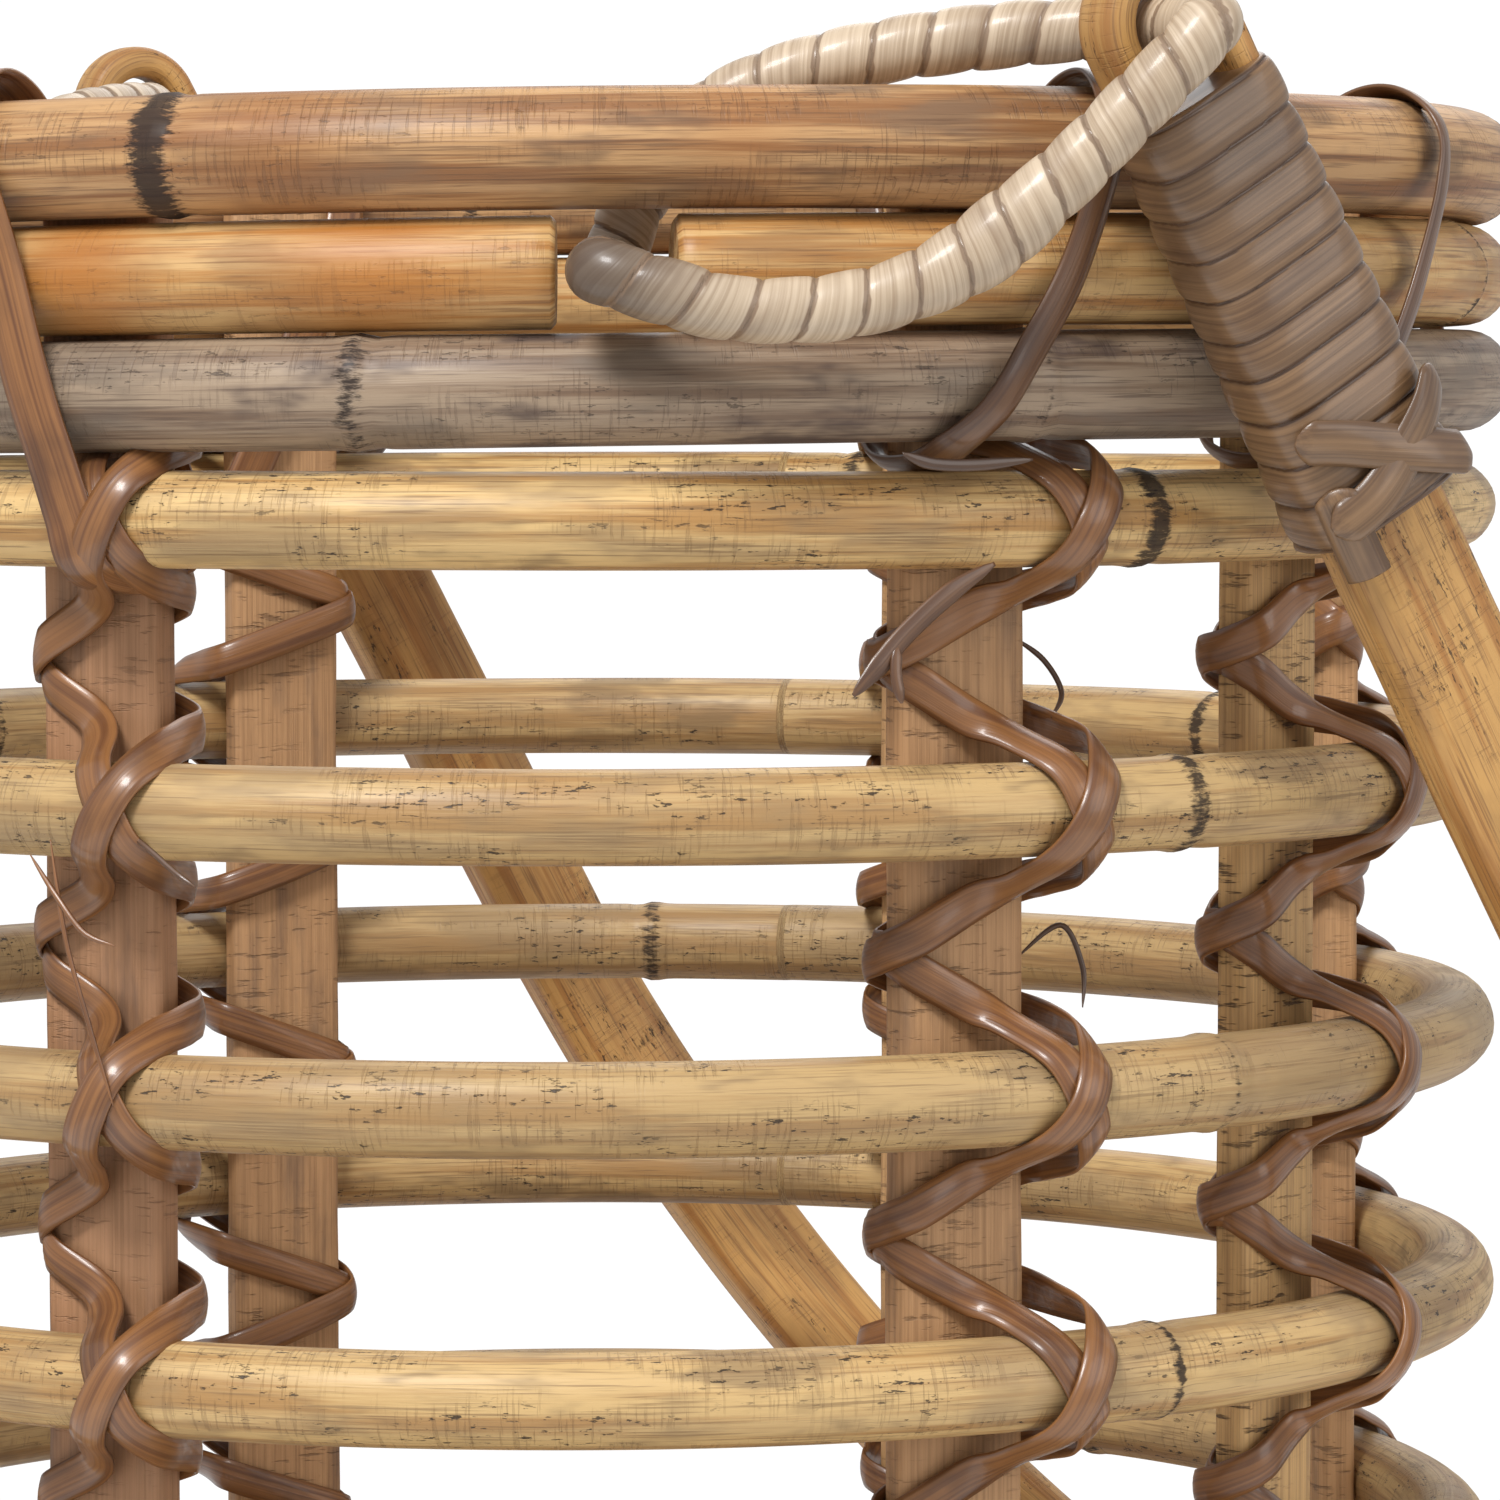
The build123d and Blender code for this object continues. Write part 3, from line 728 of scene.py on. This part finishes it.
def hingeLoopPart(mirror, seed):
    eye = eyeBearing + (180 if mirror else 0)
    way = 1 if mirror else -1
    route = np.array(loopShape["route"], float)
    outward, _ = bearingWays(eye + way * route[:, 0])
    controls = outward * route[:, 1:2]
    controls[:, 2] = route[:, 2]
    path = smoothCurve(controls, loopShape["perSpan"], True)
    for _ in range(loopShape["smoothings"]):
        path = (np.roll(path, 1, 0) + 2 * path + np.roll(path, -1, 0)) / 4
    tangent, distance = alongPath(path, True)
    length = distance[-1] + np.linalg.norm(path[0] - path[-1])
    turns = round(length / loopShape["turnLength"])
    theta = np.linspace(0, 2 * np.pi, loopShape["around"], endpoint=False)
    share = distance / length
    wander = 0.10 * ripple(share * 2 * np.pi, seed, (2, 5, 9))
    turn = (share * turns + wander)[:, None]
    relief = wrapRelief(turn, theta[None], 2.6)
    # the splice where the strands are doubled stands out as a lump on the way up to the eye
    lumpAt, lumpLong, lumpHigh = loopShape["lump"]
    lump = lumpHigh * np.exp(-(((share - lumpAt) / lumpLong) ** 2))
    loose = 0.10 * ripple(share * 2 * np.pi, seed + 5, (7, 13, 19))
    radius = loopShape["strandRadius"] - 0.45 + loose[:, None] + lump[:, None] + 0.55 * relief
    middle = controls.mean(0)
    up = unit(np.cross(controls[4] - middle, controls[-4] - middle))
    side = unit(np.cross(tangent, np.broadcast_to(up, tangent.shape)))
    lift = np.cross(side, tangent)
    points = path[:, None] + radius[..., None] * (
        side[:, None] * np.cos(theta)[None, :, None] + lift[:, None] * np.sin(theta)[None, :, None])
    phase = (turn - theta[None] / (2 * np.pi))
    # the cane runs round the strand, so its grain is the angle round and its width the turn's own
    across = (phase % 1.0 - 0.5) * loopShape["turnLength"]
    around = theta[None] * loopShape["strandRadius"] + np.floor(phase) * 17.3
    grain = np.stack([around, across, 0 * across], -1)
    # painted shade: a narrow band at each turn's edge is darkened in the colour
    grooveShade = (np.minimum(phase % 1.0, 1 - phase % 1.0) < loopShape["grooveShade"]) * 1.0
    # painted reflection: near the loop's start the colour is darkened towards the cane's dusk colour to look glossy;
    # roughness there is unchanged
    paintedGlossDark = np.exp(-(((share + 0.5) % 1 - 0.5) / loopShape["paintedGlossLong"]) ** 2) * 0.85
    mark = np.stack([grooveShade, 0 * across, paintedGlossDark[:, None] * np.ones_like(across)], -1)
    return gridPart(points * mm, grain * mm, mark, True, False)


def buildHingeLoops():
    for mirror, name in ((False, "near"), (True, "far")):
        nodes = ["hinge_loop_core_" + name, "hinge_loop_wrap_" + name]
        makePiece(name + "HingeLoop", [hingeLoopPart(mirror, 60 + mirror)], paleCane, "lantern", nodes)


# ---------- bail handle ----------
bailShape = {
    "halfSpan": 138.3,
    "height": 288.0,
    "width": 17.3,
    "thickness": 8.8,
    "drop": 60.28,  # degrees below level at rest
    "eyeHole": 5.0,
    "eyeStrand": 4.8,
    "poleStart": 13.0,
    "wrapStart": 9.0,
    "wrapEnd": 67.0,
    "wrapTurn": 5.6,
    "wrapRows": 300,
    "wrapAround": 72,
    "wrapHalfWide": 10.4,
    "wrapHalfThick": 5.9,
}
hangLevel = np.array([-hingeAxis[1], hingeAxis[0], 0])
dropTurn = math.radians(bailShape["drop"])
hangWay = hangLevel * math.cos(dropTurn) - np.array([0, 0, 1]) * math.sin(dropTurn)
bailNormal = np.cross(hingeAxis, hangWay)


def toBail(span, drop, lift):
    # Along the hinge line, down the arms and out of the bail's plane become X, Y and Z.
    place = [np.asarray(a, float)[..., None] * mm for a in (span, drop, lift)]
    return pivot + place[0] * hingeAxis + place[1] * hangWay + place[2] * bailNormal


def roundedSection(width, depth, count, power):
    # A squared-off ellipse, as across and through offsets.
    theta = np.linspace(0, 2 * np.pi, count, endpoint=False)
    c, s = np.cos(theta), np.sin(theta)
    boxy = (np.abs(c) ** power + np.abs(s) ** power) ** (-1 / power)
    return c * boxy * width / 2, s * boxy * depth / 2


def bailPolePart():
    # Two straight arms and a half-round arch; the flat faces turn with the arch.
    b = bailShape
    straight = b["height"] - b["halfSpan"]
    arm = np.linspace(b["poleStart"], straight, 110, endpoint=False)
    turn = np.linspace(0, np.pi, 260)
    span = np.concatenate([np.full(110, b["halfSpan"]), b["halfSpan"] * np.cos(turn), np.full(110, -b["halfSpan"])])
    drop = np.concatenate([arm, straight + b["halfSpan"] * np.sin(turn), arm[::-1]])
    s = np.linspace(0, 2 * np.pi, len(span))
    bow = 0.5 * ripple(s, 71, (3, 7, 12)) * np.sin(s / 2) ** 2
    path = toBail(span + 0.4 * ripple(s, 70, (4, 9, 15)), drop, bow)
    faces = np.concatenate([np.full(110, 1.0), np.cos(turn), np.full(110, -1.0)])[:, None] * hingeAxis
    faces = faces + np.concatenate([np.zeros(110), np.sin(turn), np.zeros(110)])[:, None] * hangWay
    across, through = roundedSection(b["width"] * mm, b["thickness"] * mm, 40, 4.2)
    vary = (1 + 0.012 * ripple(s * 3, 72, (3, 7, 13)))[:, None]
    mark = np.zeros((len(span), 40, 3))
    for place, strong in ((0.2, 0.5), (0.47, 0.6), (0.74, 0.6)):
        mark[..., 0] += strong * np.exp(-(((s / (2 * np.pi) - place) / 0.0022) ** 2))[:, None]
    return sweep(path, faces, across * vary, through * vary, mark)


def eyePart(side, seed):
    # The thinned end of the pole, bent round into an eye: two legs and a half turn between them.
    b = bailShape
    bend = b["eyeHole"] + b["eyeStrand"] / 2
    turn = np.linspace(0, np.pi, 40)
    leg = np.linspace(30, 0, 24, endpoint=False)
    drop = np.concatenate([leg, -bend * np.sin(turn), leg[::-1]])
    lift = np.concatenate([np.full(24, bend), bend * np.cos(turn), np.full(24, -bend)])
    path = toBail(np.full(len(drop), side * b["halfSpan"]), drop, lift)
    middle = toBail(side * b["halfSpan"], 0.0, 0.0)
    faces = path - middle
    faces = faces - (faces @ hangWay)[:, None] * hangWay * (drop > 0)[:, None]
    across, through = roundedSection(7.8 * mm, b["eyeStrand"] * mm, 28, 3.0)
    s = np.linspace(0, 6, len(drop))
    thin = (1 + 0.05 * ripple(s, seed))[:, None]
    return sweep(path, faces, across * thin, through * thin)


def whippingPart(side, seed):
    # Overlapping turns of flat cane round the doubled pole: the section grows by the relief of
    # the turns, which climb one turn length each time round.
    b = bailShape
    rows, count = b["wrapRows"], b["wrapAround"]
    drop = np.linspace(b["wrapStart"], b["wrapEnd"], rows)
    theta = np.linspace(0, 2 * np.pi, count, endpoint=False)
    c, s = np.cos(theta), np.sin(theta)
    boxy = (np.abs(c) ** 3.4 + np.abs(s) ** 3.4) ** (-1 / 3.4)
    share = (drop - drop[0]) / (drop[-1] - drop[0])
    slant = 0.10 * (c * boxy)[None] * 11
    turns = (drop[:, None] + slant) / b["wrapTurn"] + 0.10 * ripple(share * 9, seed)[:, None]
    relief = wrapRelief(turns, -theta[None] * side, 3.2)
    halfWide = b["wrapHalfWide"] + 0.7 * share
    halfThick = b["wrapHalfThick"] + 0.35 * share
    grow = 0.75 * relief - 0.25
    endRound = np.clip(np.minimum(share, 1 - share) / 0.012, 0, 1) ** 0.5
    lift = (halfWide[:, None] + grow) * c * boxy * (0.9 + 0.1 * endRound[:, None])
    span = (halfThick[:, None] + grow) * s * boxy * (0.85 + 0.15 * endRound[:, None])
    points = toBail(side * b["halfSpan"] + span, np.broadcast_to(drop[:, None], span.shape), lift)
    phase = turns + theta[None] * side / (2 * np.pi)
    across = (phase % 1.0 - 0.5) * b["wrapTurn"]
    around = theta[None] * 9.0 + np.floor(phase) * 23.7
    # painted shade: a narrow band at each turn's edge is darkened in the colour
    grooveShade = (np.minimum(phase % 1.0, 1 - phase % 1.0) < 0.06) * 0.9
    mark = np.stack([grooveShade, 0 * grooveShade, 0 * grooveShade], -1)
    return gridPart(points, np.stack([around, across, 0 * across], -1) * mm, mark)


def tuckParts(side):
    # The strip's end crosses the last turns and comes out as a tongue beyond them.
    b = bailShape
    strips = (
        ((-11.2, 8.0, 51), (-6, 9.1, 54), (0, 9.4, 58), (6, 9.2, 62), (11.4, 7.8, 65.5)),
        ((-11.3, 7.6, 63.5), (-5, 9.0, 62.5), (1, 9.3, 60), (7, 9.2, 56.5), (11.3, 7.8, 53)),
        ((-8.8, 7.4, 59), (-8.6, 6.9, 64), (-8.2, 6.2, 69), (-7.8, 5.6, 72)),
    )
    parts = []
    for controls in strips:
        local = smoothCurve(np.array(controls, float), 12)
        path = toBail(side * (b["halfSpan"] + local[:, 1] - 1.3), local[:, 2], local[:, 0])
        middle = toBail(np.full(len(local), side * b["halfSpan"]), local[:, 2], 0 * local[:, 2])
        faces = path - middle + side * hingeAxis * 0.006
        parts.append(ribbonPart(path, faces, 5.6 * mm, 1.0 * mm, 0.0, False, 0.1))
    return parts


def buildHandle():
    parts = [bailPolePart(), eyePart(1, 5), eyePart(-1, 6)]
    makePiece("bailPole", parts, handlePole, "handle", ["handle_bail"])
    for side, name in ((1, "near"), (-1, "far")):
        parts = [whippingPart(side, 80 + side)] + tuckParts(side)
        piece = name + "Whipping"
        makePiece(piece, parts, whippingCane, "handle", ["handle_whipping_" + name])


# ---------- loose ends of cane ----------
looseEnds = (
    # bearing, points (sideways, outwards, height), width, tone
    (26, ((-3, 13.2, 271.5), (-9, 13.4, 268.2), (-15, 13.6, 263.5), (-19, 13.8, 259.5), (-22.5, 14, 256)), 2.6, 0.55),
    (26, ((-16.5, 13.8, 262), (-17, 14.4, 258.5), (-16.4, 14.8, 255.0)), 1.5, 0.55),
    (26, ((2, 13.5, 284.0), (-6, 13.6, 283.4), (-12, 13.9, 283.6), (-16, 14.2, 284.8)), 1.5, 0.8),
    (330, ((8, 9, 240), (14, 11, 238), (20, 12, 234.5), (23, 12, 232.8)), 0.7, 0.7),
    (330, ((3, 14, 238), (6, 15, 226), (9, 14.6, 216), (12, 13.8, 206)), 0.6, 0.0),
    (330, ((0, 14, 236), (5, 15.2, 231), (9, 15.4, 227), (13, 14.6, 225.5)), 0.7, 0.0),
    (26, ((9, -5, 262), (13, -4, 259), (14.5, -2, 255), (12, 0, 252)), 0.7, 0.8),
    (26, ((10, -5, 222), (15, -3, 226), (17, -1, 221), (16, 1, 216)), 0.7, 0.8),
)


def buildLooseEnds():
    parts = []
    for bearing, controls, width, tone in looseEnds:
        local = smoothCurve(np.array(controls, float), 10)
        path = toStake(local, bearing, local[:, 2])
        outward, _ = bearingWays(np.full(len(path), float(bearing)))
        parts.append(ribbonPart(path * mm, outward, width * mm, 0.45 * mm, tone, False, 0.25))
    makePiece("looseCaneEnds", parts, brownCane, "lantern")


# ---------- board, nails and floor ----------
floorHalf = 0.45


def buildBase():
    for node, material in (("candle_board", boardWood("boardWood")), ("floor_nails", nailSteel("nailSteel"))):
        frame["nodes"][node].data.materials.clear()
        frame["nodes"][node].data.materials.append(material)
    p = Paint("paleFloor")
    place = p.node("ShaderNodeTexCoord", output="Object")
    shade = p.noise(place, (2, 2, 2), 2, 0.5)
    material = p.finish(p.mix(shade, (0.86, 0.86, 0.86), (0.90, 0.90, 0.90)), 0.8)
    mesh = bpy.data.meshes.new("floor")
    corners = [(x * floorHalf, y * floorHalf, 0) for x, y in ((-1, -1), (1, -1), (1, 1), (-1, 1))]
    mesh.from_pydata(corners, [], [(0, 1, 2, 3)])
    mesh.materials.append(material)
    floor = bpy.data.objects.new("floor", mesh)
    bpy.context.scene.collection.objects.link(floor)


buildRoom()
buildBase()
buildRings()
buildMiddleRing()
print("rings made")
buildStakes()
buildLashings()
print("stakes and cane made")
buildHingeLoops()
buildHandle()
buildLooseEnds()
print("handle and loops made")
